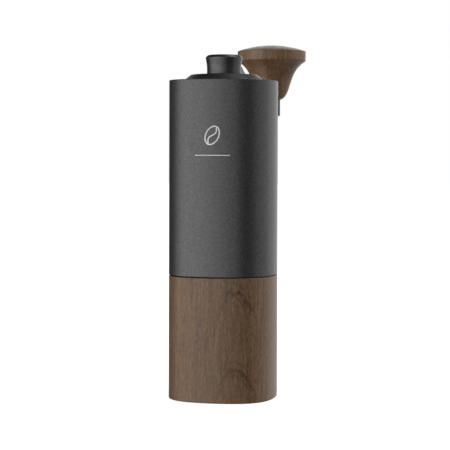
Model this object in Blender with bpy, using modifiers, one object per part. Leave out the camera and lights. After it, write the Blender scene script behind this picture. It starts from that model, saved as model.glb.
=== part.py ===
"""Hand crank coffee grinder: a rounded-square metal body on a walnut catch cup,
with conical burrs, a lift-off lid and a folding crank that ends in a walnut knob.

Lengths are in millimetres, and MM turns them into metres.  The origin is the centre
of the base, +Z is up, and the crank arm points along +Y.
"""

import math

import bmesh
import bpy
from mathutils import Matrix, Vector

MM = 0.001
COLLECTION = "coffee_grinder"
CUTTERS = "cutters"

# Clearances and facets
GAP = 0.25
SEGMENTS = 36
FINE_SEGMENTS = 48
SMALL_SEGMENTS = 20

# Rounded-square outline shared by the body and the cup
HALF_WIDTH = 26.0
CORNER_RADIUS = 18.0
FACE_SWEEP = math.radians(13.1)
CORNER_STEPS = 10
FACE_STEPS = 4
EDGE_ROUND = 0.5

# Catch cup
PAD_RADIUS = 20.0
PAD_HEIGHT = 1.35
CUP_BOTTOM = 0.3
CUP_TOP = 60.0
CUP_FLOOR = 3.2
CUP_BORE = 22.3
LINER_WALL = 1.0
LINER_RADIUS = CUP_BORE - GAP
LINER_TOP = 58.6

# Body and what is fixed in it
BODY_BOTTOM = CUP_TOP + GAP
BODY_TOP = 154.5
BODY_BORE = 22.6
INSERT_RADIUS = BODY_BORE - GAP
NECK_RADIUS = 20.6
NECK_BORE = 18.2
NECK_BOTTOM = 50.0
FLANGE_BOTTOM = 61.0
FLANGE_TOP = 65.0
SEAL_BOTTOM = LINER_TOP + GAP
SEAL_TOP = FLANGE_BOTTOM - GAP
CARRIER_BOTTOM = FLANGE_TOP + GAP
CARRIER_TOP = 87.0
POCKET_RADIUS = 19.2
POCKET_TOP = 80.0
THROAT_RADIUS = 13.0

# Bearings and the two spiders that hold them
BEARING_HEIGHT = 5.0
BEARING_RADIUS = 6.4
BEARING_RACE = 5.3
SHIELD_RADIUS = 4.7
SHIELD_HEIGHT = 0.4
INNER_RACE = 4.4
SPIDER_HEIGHT = 7.0
SPIDER_HUB = 9.0
SPIDER_RING = 20.4
SPIDER_LIP = 4.9
SPOKE_WIDTH = 4.0
SPOKES = 3
LOWER_SPIDER = 92.0
UPPER_SPIDER = 124.0

# Drive shaft
SHAFT_RADIUS = 2.8
SHAFT_BOTTOM = 51.2
SHAFT_TOP = 140.0
HEX_TOP = 149.0
HEX_FLATS = 5.8
CLIP_HEIGHT = 0.8

# Burrs: (height, tip radius of the inner burr) from top to bottom
BURR_PROFILE = ((83.0, 5.6), (78.5, 7.2), (74.0, 9.8), (69.5, 13.4), (65.4, 16.2))
BURR_TEETH = 16
TOOTH_STEPS = 3
TOOTH_DEPTH = 1.0
BURR_GAP = 0.5
BURR_TWIST = math.radians(3.0)
OUTER_BURR_TOP = POCKET_TOP - GAP
OUTER_BURR_BOTTOM = 66.0
GRUB_HEIGHT = 73.0
GRUB_RADIUS = 1.25

# Grind dial, under the inner burr
DIAL_RADIUS = 13.2
DIAL_BOTTOM = 55.4
DIAL_TOP = 62.9
DIAL_LOBES = 12
LOBE_DEPTH = 0.45
CLICK_BOTTOM = DIAL_TOP + GAP
CLICK_TOP = BURR_PROFILE[-1][0] - GAP
CLICK_RADIUS = 9.0
DETENT_OFFSET = 6.5
DETENT_RADIUS = 1.0
DETENT_FLOOR = 57.2

# Lid
LID_RADIUS = 16.2
LID_TOP = 157.45
LID_FOOT = 20.1
LID_BOTTOM = 152.6
LID_BORE = 5.4
SKIRT_RADIUS = 20.6
SKIRT_INNER = 18.8
SKIRT_BOTTOM = 148.0
FLANGE_UNDER = 151.4

# Crank hub and socket
HUB_RADIUS = 9.0
HUB_WAIST = 8.45
HUB_FOOT = 158.3
HUB_TOP = 167.1
SPIGOT_RADIUS = 4.2
SPIGOT_BOTTOM = 150.4
SOCKET_RADIUS = 6.8
SOCKET_BOTTOM = 141.0
SOCKET_ROOF = 149.3 - GAP
SCREW_RADIUS = 1.8
SCREW_HEAD = 3.4
SCREW_SEAT = 160.0
HUB_CAP_RADIUS = 6.6
HUB_CAP_HEIGHT = 0.9

# Folding arm
ARM_WIDTH = 7.0
LINK_TOP = 164.1
LINK_UNDER = 159.8
LINK_ROOT = 5.0
PIVOT = Vector((0.0, 35.0, 157.0))
KNUCKLE_RADIUS = 3.3
TONGUE_WIDTH = 2.6
PIN_RADIUS = 1.4
ARM_THICKNESS = 4.0
ARM_START = 4.0
ARM_END_WIDTH = 8.0
KNOB_Y = 126.0
BOSS_RADIUS = 4.85
BOSS_BOTTOM = 140.65
BOSS_TOP = 149.6

# Knob: (radius, height) down the outside, from the middle of the domed top
KNOB_BOTTOM = 149.9
KNOB_PROFILE = (
    (0.0, 180.6), (6.5, 180.2), (11.0, 179.45), (15.0, 178.6), (18.8, 177.45), (19.25, 177.1),
    (19.25, 171.9), (18.3, 171.05), (16.7, 169.9), (14.5, 167.7), (12.8, 165.3), (11.5, 162.2),
    (10.6, 159.2), (9.7, 156.0), (8.7, 153.6), (7.3, 151.4), (5.6, KNOB_BOTTOM),
)
KNOB_BORE = 4.2
KNOB_BORE_TOP = 173.0
AXLE_RADIUS = 2.4
AXLE_TOP = 171.6
AXLE_HEAD = 3.5
BUSH_HEIGHT = 5.0
UPPER_BUSH = 163.5

MATERIALS = {
    "charcoal_metal": ((0.085, 0.085, 0.088), 0.55, 0.6),
    "walnut": ((0.13, 0.075, 0.042), 0.55, 0.0),
    "bright_steel": ((0.62, 0.62, 0.63), 0.28, 1.0),
    "burr_steel": ((0.42, 0.42, 0.44), 0.35, 1.0),
    "aluminium": ((0.7, 0.7, 0.71), 0.4, 1.0),
    "brass": ((0.68, 0.5, 0.2), 0.35, 1.0),
    "black_plastic": ((0.03, 0.03, 0.032), 0.5, 0.0),
    "black_rubber": ((0.02, 0.02, 0.02), 0.8, 0.0),
}


def clear_scene():
    for obj in list(bpy.data.objects):
        bpy.data.objects.remove(obj, do_unlink=True)


def make_collection(name):
    collection = bpy.data.collections.new(name)
    bpy.context.scene.collection.children.link(collection)
    return collection


def make_material(name):
    colour, roughness, metallic = MATERIALS[name]
    material = bpy.data.materials.new(name)
    material.use_nodes = True
    shader = material.node_tree.nodes["Principled BSDF"]
    shader.inputs["Base Color"].default_value = (*colour, 1.0)
    shader.inputs["Roughness"].default_value = roughness
    shader.inputs["Metallic"].default_value = metallic
    material.diffuse_color = (*colour, 1.0)
    return material


def link_object(name, data):
    obj = bpy.data.objects.new(name, data)
    parts.objects.link(obj)
    return obj


def finish(obj, material, frame, at=(0.0, 0.0)):
    """Give a piece its material, stand it at `at` and hang it on its moving frame."""
    obj.data.materials.clear()
    obj.data.materials.append(materials[material])
    obj.parent = frames[frame]
    offset = Vector((at[0], at[1], 0.0)) * MM
    obj.location += offset - frame_places[frame]
    return obj


def as_cutter(obj, frame=None, at=(0.0, 0.0)):
    parts.objects.unlink(obj)
    cutters.objects.link(obj)
    obj.hide_render = True
    obj.display_type = "WIRE"
    obj.location += Vector((at[0], at[1], 0.0)) * MM
    if frame:
        obj.parent = frames[frame]
        obj.location -= frame_places[frame]
    return obj


def combine(obj, other, operation="DIFFERENCE"):
    modifier = obj.modifiers.new(operation.lower(), "BOOLEAN")
    modifier.operation = operation
    modifier.solver = "EXACT"
    modifier.object = other


def shade(mesh):
    mesh.shade_smooth()
    mesh.set_sharp_from_angle(angle=math.radians(35))


def turned(name, profile, closed=True, segments=SEGMENTS):
    """Turn a profile of (radius, height) points about Z; a ring's profile is closed."""
    count = len(profile)
    edges = [(i, i + 1) for i in range(count - 1)]
    if closed:
        edges.append((count - 1, 0))
    mesh = bpy.data.meshes.new(name)
    mesh.from_pydata([(r * MM, 0.0, z * MM) for r, z in profile], edges, [])
    obj = link_object(name, mesh)
    screw = obj.modifiers.new("turn", "SCREW")
    screw.angle = math.tau
    screw.steps = segments
    screw.render_steps = segments
    screw.use_merge_vertices = True
    screw.merge_threshold = 0.00001
    screw.use_smooth_shade = True
    return obj


def ring(name, inner, outer, bottom, top, segments=SEGMENTS):
    profile = ((inner, top), (outer, top), (outer, bottom), (inner, bottom))
    return turned(name, profile, segments=segments)


def disc(name, radius, bottom, top, segments=SEGMENTS):
    profile = ((0.0, top), (radius, top), (radius, bottom), (0.0, bottom))
    return turned(name, profile, closed=False, segments=segments)


def frozen(obj):
    """Replace an object's data by its evaluated mesh, so that its vertices can be edited."""
    depsgraph = bpy.context.evaluated_depsgraph_get()
    mesh = bpy.data.meshes.new_from_object(obj.evaluated_get(depsgraph))
    shape = bmesh.new()
    shape.from_mesh(mesh)
    bmesh.ops.remove_doubles(shape, verts=shape.verts, dist=0.00001)
    shape.to_mesh(mesh)
    shape.free()
    name = obj.name
    matrix = obj.matrix_world.copy()
    bpy.data.objects.remove(obj, do_unlink=True)
    solid = link_object(name, mesh)
    solid.matrix_world = matrix
    shade(mesh)
    return solid


def extruded(name, outline, thickness):
    """Extrude a flat outline of (x, y) points to both sides of its own plane."""
    curve = bpy.data.curves.new(name, "CURVE")
    curve.dimensions = "2D"
    curve.fill_mode = "BOTH"
    curve.extrude = thickness * MM / 2
    spline = curve.splines.new("POLY")
    spline.points.add(len(outline) - 1)
    for point, (x, y) in zip(spline.points, outline):
        point.co = (x * MM, y * MM, 0.0, 1.0)
    spline.use_cyclic_u = True
    return link_object(name, curve)


def arc(centre, radius, start, end, steps):
    """Points on an arc, without its last one."""
    points = []
    for i in range(steps):
        angle = start + (end - start) * i / steps
        points.append((centre[0] + radius * math.cos(angle), centre[1] + radius * math.sin(angle)))
    return points


def rounded_square():
    """Four slightly bowed faces, tangent to four round corners."""
    slant = math.cos(FACE_SWEEP) - math.sin(FACE_SWEEP)
    face_radius = (HALF_WIDTH - CORNER_RADIUS * slant) / (1 - slant)
    corner = (face_radius - CORNER_RADIUS) * math.sin(FACE_SWEEP)
    right_angle = math.pi / 2
    side = arc((HALF_WIDTH - face_radius, 0.0), face_radius, -FACE_SWEEP, FACE_SWEEP, FACE_STEPS)
    side += arc((corner, corner), CORNER_RADIUS, FACE_SWEEP, right_angle - FACE_SWEEP, CORNER_STEPS)
    outline = []
    for turn in range(4):
        spin = Matrix.Rotation(turn * right_angle, 2)
        outline += [tuple(spin @ Vector(point)) for point in side]
    return outline


def rounded_square_column(name, bottom, top):
    blank = extruded(name, rounded_square(), top - bottom)
    blank.location.z = (bottom + top) / 2 * MM
    bpy.context.view_layer.update()
    column = frozen(blank)
    bevel = column.modifiers.new("edges", "BEVEL")
    bevel.width = EDGE_ROUND * MM
    bevel.segments = 2
    bevel.limit_method = "ANGLE"
    bevel.angle_limit = math.radians(60)
    return column


def box(name, size, centre, tilt=0.0):
    """A box at `centre`, tilted about X."""
    mesh = bpy.data.meshes.new(name)
    shape = bmesh.new()
    scale = Matrix.Diagonal((*(Vector(size) * MM), 1.0))
    bmesh.ops.create_cube(shape, size=1.0, matrix=scale)
    shape.to_mesh(mesh)
    shape.free()
    obj = link_object(name, mesh)
    obj.location = Vector(centre) * MM
    obj.rotation_euler.x = tilt
    return obj


def rod_along_x(name, radius, length, centre, segments=SMALL_SEGMENTS):
    mesh = bpy.data.meshes.new(name)
    shape = bmesh.new()
    bmesh.ops.create_cone(shape, cap_ends=True, segments=segments, radius1=radius * MM,
                          radius2=radius * MM, depth=length * MM,
                          matrix=Matrix.Rotation(math.pi / 2, 4, "Y"))
    shape.to_mesh(mesh)
    shape.free()
    shade(mesh)
    obj = link_object(name, mesh)
    obj.location = Vector(centre) * MM
    return obj


def hexagon(name, flats, bottom, top):
    mesh = bpy.data.meshes.new(name)
    shape = bmesh.new()
    corner = flats / math.sqrt(3) * MM
    bmesh.ops.create_cone(shape, cap_ends=True, segments=6, radius1=corner, radius2=corner,
                          depth=(top - bottom) * MM)
    shape.to_mesh(mesh)
    shape.free()
    obj = link_object(name, mesh)
    obj.location.z = (top + bottom) / 2 * MM
    return obj


def coil(name, radius, wire, bottom, top, turns, steps=11):
    curve = bpy.data.curves.new(name, "CURVE")
    curve.dimensions = "3D"
    curve.bevel_depth = wire * MM
    curve.bevel_resolution = 2
    curve.use_fill_caps = True
    spline = curve.splines.new("POLY")
    count = turns * steps
    spline.points.add(count)
    for i, point in enumerate(spline.points):
        angle = i * math.tau / steps
        height = bottom + wire + (top - bottom - 2 * wire) * i / count
        point.co = (radius * math.cos(angle) * MM, radius * math.sin(angle) * MM, height * MM, 1.0)
    return link_object(name, curve)


def toothed(name, profile, grow=0.0):
    """A burr's cone: slanted saw teeth cut into a turned profile that grows by `grow`."""
    columns = BURR_TEETH * TOOTH_STEPS
    foot = profile[-1][0]
    points = [(0.0, profile[0][0])] + [(r + grow, z) for z, r in profile] + [(0.0, foot)]
    obj = frozen(turned(name, points, closed=False, segments=columns))
    for vertex in obj.data.vertices:
        radius = math.hypot(vertex.co.x, vertex.co.y)
        if radius < MM:
            continue
        angle = math.atan2(vertex.co.y, vertex.co.x)
        column = round(angle * columns / math.tau) % TOOTH_STEPS
        radius -= TOOTH_DEPTH * MM * column / (TOOTH_STEPS - 1)
        angle += BURR_TWIST * (vertex.co.z / MM - foot)
        vertex.co.x = radius * math.cos(angle)
        vertex.co.y = radius * math.sin(angle)
    return obj


def build_cup():
    sleeve = rounded_square_column("cup_sleeve", CUP_BOTTOM, CUP_TOP)
    combine(sleeve, as_cutter(disc("cup_bore", CUP_BORE, CUP_FLOOR, CUP_TOP + 5, FINE_SEGMENTS)))
    pad_pocket = disc("pad_pocket", PAD_RADIUS + GAP, -5.0, PAD_HEIGHT + GAP, FINE_SEGMENTS)
    combine(sleeve, as_cutter(pad_pocket))
    finish(sleeve, "walnut", "cup")
    floor = CUP_FLOOR + GAP
    inner = LINER_RADIUS - LINER_WALL
    fillet = 3.0
    inside = floor + LINER_WALL
    liner = turned("cup_liner", (
        (0.0, inside), (inner - fillet, inside), (inner - fillet / 4, inside + fillet / 4),
        (inner, inside + fillet), (inner, LINER_TOP), (LINER_RADIUS, LINER_TOP),
        (LINER_RADIUS, floor), (0.0, floor),
    ), closed=False, segments=FINE_SEGMENTS)
    finish(liner, "bright_steel", "cup")
    finish(disc("base_pad", PAD_RADIUS, 0.0, PAD_HEIGHT), "black_rubber", "cup")


def build_seal():
    seal = ring("neck_seal", NECK_RADIUS + GAP, LINER_RADIUS, SEAL_BOTTOM, SEAL_TOP)
    finish(seal, "black_rubber", "seal")


def build_body():
    shell = rounded_square_column("body_shell", BODY_BOTTOM, BODY_TOP)
    bore = disc("body_bore", BODY_BORE, BODY_BOTTOM - 5, BODY_TOP + 5, FINE_SEGMENTS)
    combine(shell, as_cutter(bore, "grinder"))
    finish(shell, "charcoal_metal", "grinder")
    neck = turned("neck_ring", (
        (NECK_BORE, FLANGE_TOP), (INSERT_RADIUS, FLANGE_TOP), (INSERT_RADIUS, FLANGE_BOTTOM),
        (NECK_RADIUS, FLANGE_BOTTOM), (NECK_RADIUS, NECK_BOTTOM + 0.6),
        (NECK_RADIUS - 0.6, NECK_BOTTOM), (NECK_BORE, NECK_BOTTOM),
    ), segments=FINE_SEGMENTS)
    finish(neck, "aluminium", "grinder")


def build_burr_carrier():
    carrier = turned("burr_carrier", (
        (INSERT_RADIUS - 1.5, CARRIER_TOP), (INSERT_RADIUS, CARRIER_TOP),
        (INSERT_RADIUS, CARRIER_BOTTOM), (POCKET_RADIUS, CARRIER_BOTTOM),
        (POCKET_RADIUS, POCKET_TOP), (THROAT_RADIUS, POCKET_TOP), (THROAT_RADIUS, POCKET_TOP + 1.0),
    ), segments=FINE_SEGMENTS)
    length = INSERT_RADIUS - POCKET_RADIUS
    middle = (INSERT_RADIUS + POCKET_RADIUS) / 2
    for i in range(3):
        turn = Matrix.Rotation(i * math.tau / 3, 4, "Z")
        place = (middle, 0.0, GRUB_HEIGHT)
        hole = rod_along_x(f"grub_hole_{i + 1}", GRUB_RADIUS + GAP, 3 * length, place)
        screw = rod_along_x(f"burr_grub_screw_{i + 1}", GRUB_RADIUS, length, place)
        recess = rod_along_x(f"grub_recess_{i + 1}", GRUB_RADIUS / 2, length, place, segments=6)
        recess.location.x += length / 2 * MM
        for piece in (hole, screw, recess):
            piece.location = turn @ piece.location
            piece.rotation_euler.z = i * math.tau / 3
        combine(carrier, as_cutter(hole, "grinder"))
        combine(screw, as_cutter(recess, "grinder"))
        finish(screw, "bright_steel", "grinder")
    finish(carrier, "aluminium", "grinder")


def build_burrs():
    outer = disc("outer_burr", POCKET_RADIUS - GAP, OUTER_BURR_BOTTOM, OUTER_BURR_TOP, FINE_SEGMENTS)
    cone = toothed("outer_burr_teeth", BURR_PROFILE, grow=BURR_GAP + TOOTH_DEPTH)
    combine(outer, as_cutter(cone, "grinder"))
    finish(outer, "burr_steel", "grinder")
    inner = toothed("inner_burr", BURR_PROFILE)
    foot = BURR_PROFILE[-1][0]
    bore = disc("inner_burr_bore", SHAFT_RADIUS + GAP, foot - 5, BURR_PROFILE[0][0] + 5)
    combine(inner, as_cutter(bore, "burr"))
    finish(inner, "burr_steel", "burr")
    top = BURR_PROFILE[0][0] + GAP
    washer = ring("spring_washer", SHAFT_RADIUS + GAP, 5.2, top, top + CLIP_HEIGHT, SMALL_SEGMENTS)
    finish(washer, "bright_steel", "burr")
    click = ring("click_plate", SHAFT_RADIUS + GAP, CLICK_RADIUS, CLICK_BOTTOM, CLICK_TOP)
    finish(click, "bright_steel", "burr")


def build_spider(name, bottom, pocket_at_top):
    """A hub with a bearing pocket, held in the bore by spokes and a ring."""
    top = bottom + SPIDER_HEIGHT
    pocket = BEARING_RADIUS + GAP
    depth = BEARING_HEIGHT + GAP
    if pocket_at_top:
        step = top - depth
        bore = ((pocket, top), (pocket, step), (SPIDER_LIP, step), (SPIDER_LIP, bottom))
    else:
        step = bottom + depth
        bore = ((SPIDER_LIP, top), (SPIDER_LIP, step), (pocket, step), (pocket, bottom))
    profile = (bore[0], (SPIDER_HUB, top), (SPIDER_HUB, bottom), *reversed(bore[1:]))
    hub = turned(name, profile)
    rim = ring(f"{name}_rim", SPIDER_RING, INSERT_RADIUS, bottom, top, FINE_SEGMENTS)
    combine(hub, as_cutter(rim, "grinder"), "UNION")
    length = SPIDER_RING - SPIDER_HUB + 2.0
    middle = (SPIDER_RING + SPIDER_HUB) / 2
    for i in range(SPOKES):
        angle = math.pi / 2 + i * math.tau / SPOKES
        centre = (middle * math.cos(angle), middle * math.sin(angle), (bottom + top) / 2)
        spoke = box(f"{name}_spoke_{i + 1}", (length, SPOKE_WIDTH, SPIDER_HEIGHT - 2.0), centre)
        spoke.rotation_euler.z = angle
        combine(hub, as_cutter(spoke, "grinder"), "UNION")
    finish(hub, "aluminium", "grinder")
    return step if pocket_at_top else bottom


def build_bearing(name, bottom):
    """A shielded ball bearing: the outer ring is fixed and the inner ring turns."""
    low = bottom + GAP / 2
    high = low + BEARING_HEIGHT - GAP / 2
    outer = turned(f"{name}_outer", (
        (SHIELD_RADIUS, high), (BEARING_RADIUS, high), (BEARING_RADIUS, low), (SHIELD_RADIUS, low),
        (SHIELD_RADIUS, low + SHIELD_HEIGHT), (BEARING_RACE, low + SHIELD_HEIGHT),
        (BEARING_RACE, high - SHIELD_HEIGHT), (SHIELD_RADIUS, high - SHIELD_HEIGHT),
    ), segments=SMALL_SEGMENTS)
    finish(outer, "bright_steel", "grinder")
    inner = ring(f"{name}_inner", SHAFT_RADIUS + GAP, INNER_RACE, low, high, SMALL_SEGMENTS)
    finish(inner, "bright_steel", "shaft")
    return high


def build_shaft(lower_bearing, upper_bearing_top):
    shaft = disc("drive_shaft", SHAFT_RADIUS, SHAFT_BOTTOM, SHAFT_TOP)
    tip = hexagon("shaft_hex", HEX_FLATS, SHAFT_TOP - 1.0, HEX_TOP)
    combine(shaft, as_cutter(tip, "shaft"), "UNION")
    finish(shaft, "bright_steel", "shaft")
    inner = SHAFT_RADIUS + GAP
    clip_bottom = upper_bearing_top + GAP
    clip = ring("shaft_clip", inner, 4.3, clip_bottom, clip_bottom + CLIP_HEIGHT, SMALL_SEGMENTS)
    finish(clip, "bright_steel", "shaft")
    stop_top = SHAFT_BOTTOM + 2 * CLIP_HEIGHT
    stop = ring("dial_stop_clip", inner, 4.6, stop_top - CLIP_HEIGHT, stop_top, SMALL_SEGMENTS)
    finish(stop, "bright_steel", "shaft")
    low = BURR_PROFILE[0][0] + 2 * GAP + CLIP_HEIGHT
    spring = coil("preload_spring", 4.2, 0.5, low, lower_bearing - GAP, turns=3)
    finish(spring, "bright_steel", "shaft")


def build_dial():
    dial = frozen(disc("grind_dial", DIAL_RADIUS, DIAL_BOTTOM, DIAL_TOP, DIAL_LOBES * 4))
    for vertex in dial.data.vertices:
        radius = math.hypot(vertex.co.x, vertex.co.y)
        if radius > MM:
            angle = math.atan2(vertex.co.y, vertex.co.x)
            scale = 1 - LOBE_DEPTH * MM * (1 - math.cos(DIAL_LOBES * angle)) / radius
            vertex.co.x *= scale
            vertex.co.y *= scale
    shaft_hole = disc("dial_bore", SHAFT_RADIUS + GAP, DIAL_BOTTOM - 5, DIAL_TOP + 5)
    combine(dial, as_cutter(shaft_hole, "dial"))
    pocket_radius = DETENT_RADIUS + GAP
    pocket = disc("detent_pocket", pocket_radius, DETENT_FLOOR, DIAL_TOP + 5, SMALL_SEGMENTS)
    combine(dial, as_cutter(pocket, "dial", at=(DETENT_OFFSET, 0.0)))
    finish(dial, "black_plastic", "dial")
    mesh = bpy.data.meshes.new("detent_ball")
    shape = bmesh.new()
    bmesh.ops.create_uvsphere(shape, u_segments=16, v_segments=8, radius=DETENT_RADIUS * MM)
    shape.to_mesh(mesh)
    shape.free()
    shade(mesh)
    ball = link_object("detent_ball", mesh)
    ball.location.z = (DIAL_TOP - DETENT_RADIUS + GAP / 2) * MM
    finish(ball, "bright_steel", "dial", at=(DETENT_OFFSET, 0.0))
    spring_top = DIAL_TOP - 2 * DETENT_RADIUS
    spring = coil("detent_spring", 0.75, 0.2, DETENT_FLOOR + GAP, spring_top, turns=4, steps=7)
    finish(spring, "bright_steel", "dial", at=(DETENT_OFFSET, 0.0))


def build_lid():
    lid = turned("lid", (
        (LID_BORE, LID_TOP), (LID_RADIUS, LID_TOP), (LID_FOOT, BODY_TOP), (INSERT_RADIUS, BODY_TOP),
        (INSERT_RADIUS, FLANGE_UNDER), (SKIRT_RADIUS, FLANGE_UNDER), (SKIRT_RADIUS, SKIRT_BOTTOM),
        (SKIRT_INNER, SKIRT_BOTTOM), (SKIRT_INNER, LID_BOTTOM), (LID_BORE, LID_BOTTOM),
    ), segments=FINE_SEGMENTS)
    finish(lid, "charcoal_metal", "lid")
    gasket = ring("lid_gasket", SKIRT_RADIUS + GAP, INSERT_RADIUS, SKIRT_BOTTOM + 0.8,
                  FLANGE_UNDER - GAP, FINE_SEGMENTS)
    finish(gasket, "black_rubber", "lid")
    sleeve = LID_BORE - GAP
    spigot = SPIGOT_RADIUS + GAP
    flange = LID_TOP + GAP
    bush = turned("lid_bush", (
        (spigot, HUB_FOOT - GAP), (HUB_WAIST - 0.8, HUB_FOOT - GAP), (HUB_WAIST - 0.8, flange),
        (sleeve, flange), (sleeve, LID_BOTTOM), (spigot, LID_BOTTOM),
    ))
    finish(bush, "black_plastic", "lid")


def build_hub():
    recess = HUB_CAP_RADIUS + GAP
    cap_floor = HUB_TOP - HUB_CAP_HEIGHT - GAP
    hub = turned("crank_hub", (
        (recess, HUB_TOP), (7.6, HUB_TOP), (8.6, HUB_TOP - 0.5), (HUB_RADIUS, HUB_TOP - 1.4),
        (8.65, 163.5), (HUB_WAIST, 161.4), (HUB_WAIST, HUB_FOOT), (SPIGOT_RADIUS, HUB_FOOT),
        (SPIGOT_RADIUS, SPIGOT_BOTTOM), (SCREW_RADIUS + GAP, SPIGOT_BOTTOM),
        (SCREW_RADIUS + GAP, SCREW_SEAT), (SCREW_HEAD + GAP, SCREW_SEAT),
        (SCREW_HEAD + GAP, cap_floor), (recess, cap_floor),
    ))
    slot_from = LINK_ROOT - GAP
    slot_size = (ARM_WIDTH + 2 * GAP, 10.0, LINK_TOP - LINK_UNDER + 2 * GAP)
    slot = box("link_slot", slot_size, (0.0, slot_from + 5.0, (LINK_TOP + LINK_UNDER) / 2))
    combine(hub, as_cutter(slot, "crank"))
    finish(hub, "charcoal_metal", "crank")
    cap = disc("hub_cap", HUB_CAP_RADIUS, HUB_TOP - HUB_CAP_HEIGHT, HUB_TOP)
    finish(cap, "charcoal_metal", "crank")
    socket_top = SPIGOT_BOTTOM - GAP
    socket = turned("drive_socket", (
        (SCREW_RADIUS + GAP, socket_top), (SOCKET_RADIUS, socket_top),
        (SOCKET_RADIUS, SOCKET_BOTTOM), (SCREW_RADIUS + GAP, SOCKET_BOTTOM),
    ))
    drive = hexagon("socket_hex", HEX_FLATS + 4 * GAP, SOCKET_BOTTOM - 5, SOCKET_ROOF)
    combine(socket, as_cutter(drive, "crank"))
    finish(socket, "bright_steel", "crank")
    head_bottom = SCREW_SEAT + GAP
    head_top = head_bottom + 3.0
    screw_end = SOCKET_ROOF + GAP
    screw = turned("hub_screw", (
        (0.0, head_top), (SCREW_HEAD, head_top), (SCREW_HEAD, head_bottom),
        (SCREW_RADIUS, head_bottom), (SCREW_RADIUS, screw_end), (0.0, screw_end),
    ), closed=False, segments=24)
    key = hexagon("screw_key", 3.0, head_top - 1.6, head_top + 5)
    combine(screw, as_cutter(key, "crank"))
    finish(screw, "bright_steel", "crank")


def build_link():
    """The fixed link: from the hub, down to the fork that holds the folding arm."""
    y, z = PIVOT.y, PIVOT.z
    outline = [(LINK_ROOT, LINK_UNDER), (20.0, LINK_UNDER), (24.0, LINK_UNDER - 0.8), (31.4, 155.0)]
    outline += arc((y, z), KNUCKLE_RADIUS, math.radians(-150), math.radians(100), 12)
    outline += [(32.5, 160.6), (29.0, 162.2), (24.0, 163.6), (18.0, LINK_TOP), (LINK_ROOT, LINK_TOP)]
    blank = extruded("crank_link", outline, ARM_WIDTH)
    blank.rotation_euler = (math.pi / 2, 0.0, math.pi / 2)
    bpy.context.view_layer.update()
    link = frozen(blank)
    reach = KNUCKLE_RADIUS + 0.5
    slot_size = (TONGUE_WIDTH + 2 * GAP, 20.0, 20.0)
    slot = box("fork_slot", slot_size, (0.0, y - reach + 10.0, z))
    combine(link, as_cutter(slot, "crank"))
    hole = rod_along_x("fork_hole", PIN_RADIUS + GAP, 2 * ARM_WIDTH, PIVOT)
    combine(link, as_cutter(hole, "crank"))
    finish(link, "charcoal_metal", "crank")


def build_arm():
    boss_middle = Vector((0.0, KNOB_Y, (BOSS_BOTTOM + BOSS_TOP) / 2))
    run = boss_middle - PIVOT
    tilt = math.atan2(run.z, run.y)
    length = run.length - ARM_START
    middle = PIVOT + run.normalized() * (ARM_START + length / 2)
    arm = box("crank_arm", (ARM_WIDTH, length, ARM_THICKNESS), middle, tilt)
    for vertex in arm.data.vertices:
        if vertex.co.y > 0:
            vertex.co.x *= ARM_END_WIDTH / ARM_WIDTH
    bevel = arm.modifiers.new("edges", "BEVEL")
    bevel.width = 0.8 * MM
    bevel.segments = 2
    tongue = rod_along_x("arm_tongue", KNUCKLE_RADIUS, TONGUE_WIDTH, PIVOT)
    neck_size = (TONGUE_WIDTH, ARM_START + 1.0, ARM_THICKNESS)
    neck = box("arm_neck", neck_size, PIVOT + run.normalized() * (ARM_START + 1.0) / 2, tilt)
    boss = turned("arm_boss", (
        (0.0, BOSS_TOP), (BOSS_RADIUS, BOSS_TOP), (BOSS_RADIUS, BOSS_BOTTOM + 0.5),
        (BOSS_RADIUS - 0.5, BOSS_BOTTOM), (0.0, BOSS_BOTTOM),
    ), closed=False)
    combine(arm, as_cutter(neck, "arm"), "UNION")
    combine(arm, as_cutter(tongue, "arm"), "UNION")
    combine(arm, as_cutter(boss, "arm", at=(0.0, KNOB_Y)), "UNION")
    pin_hole = rod_along_x("arm_pin_hole", PIN_RADIUS + GAP, 2 * ARM_WIDTH, PIVOT)
    combine(arm, as_cutter(pin_hole, "arm"))
    head_top = BOSS_BOTTOM + 2.0
    axle_hole = turned("axle_hole", (
        (0.0, BOSS_TOP + 5), (AXLE_RADIUS + GAP, BOSS_TOP + 5), (AXLE_RADIUS + GAP, head_top + GAP),
        (AXLE_HEAD + GAP, head_top + GAP), (AXLE_HEAD + GAP, BOSS_BOTTOM - 5), (0.0, BOSS_BOTTOM - 5),
    ), closed=False)
    combine(arm, as_cutter(axle_hole, "arm", at=(0.0, KNOB_Y)))
    finish(arm, "charcoal_metal", "arm")
    finish(rod_along_x("hinge_pin", PIN_RADIUS, ARM_WIDTH, PIVOT), "bright_steel", "arm")
    axle = turned("knob_axle", (
        (0.0, AXLE_TOP), (AXLE_RADIUS, AXLE_TOP), (AXLE_RADIUS, head_top), (AXLE_HEAD, head_top),
        (AXLE_HEAD, BOSS_BOTTOM), (0.0, BOSS_BOTTOM),
    ), closed=False, segments=32)
    slot = box("axle_slot", (1.0, 10.0, 1.6), (0.0, 0.0, BOSS_BOTTOM))
    combine(axle, as_cutter(slot, "arm", at=(0.0, KNOB_Y)))
    finish(axle, "bright_steel", "arm", at=(0.0, KNOB_Y))
    clip_bottom = UPPER_BUSH + BUSH_HEIGHT + GAP
    clip_top = clip_bottom + CLIP_HEIGHT
    clip = ring("axle_clip", AXLE_RADIUS + GAP, KNOB_BORE - GAP, clip_bottom, clip_top, SMALL_SEGMENTS)
    finish(clip, "bright_steel", "arm", at=(0.0, KNOB_Y))


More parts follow.
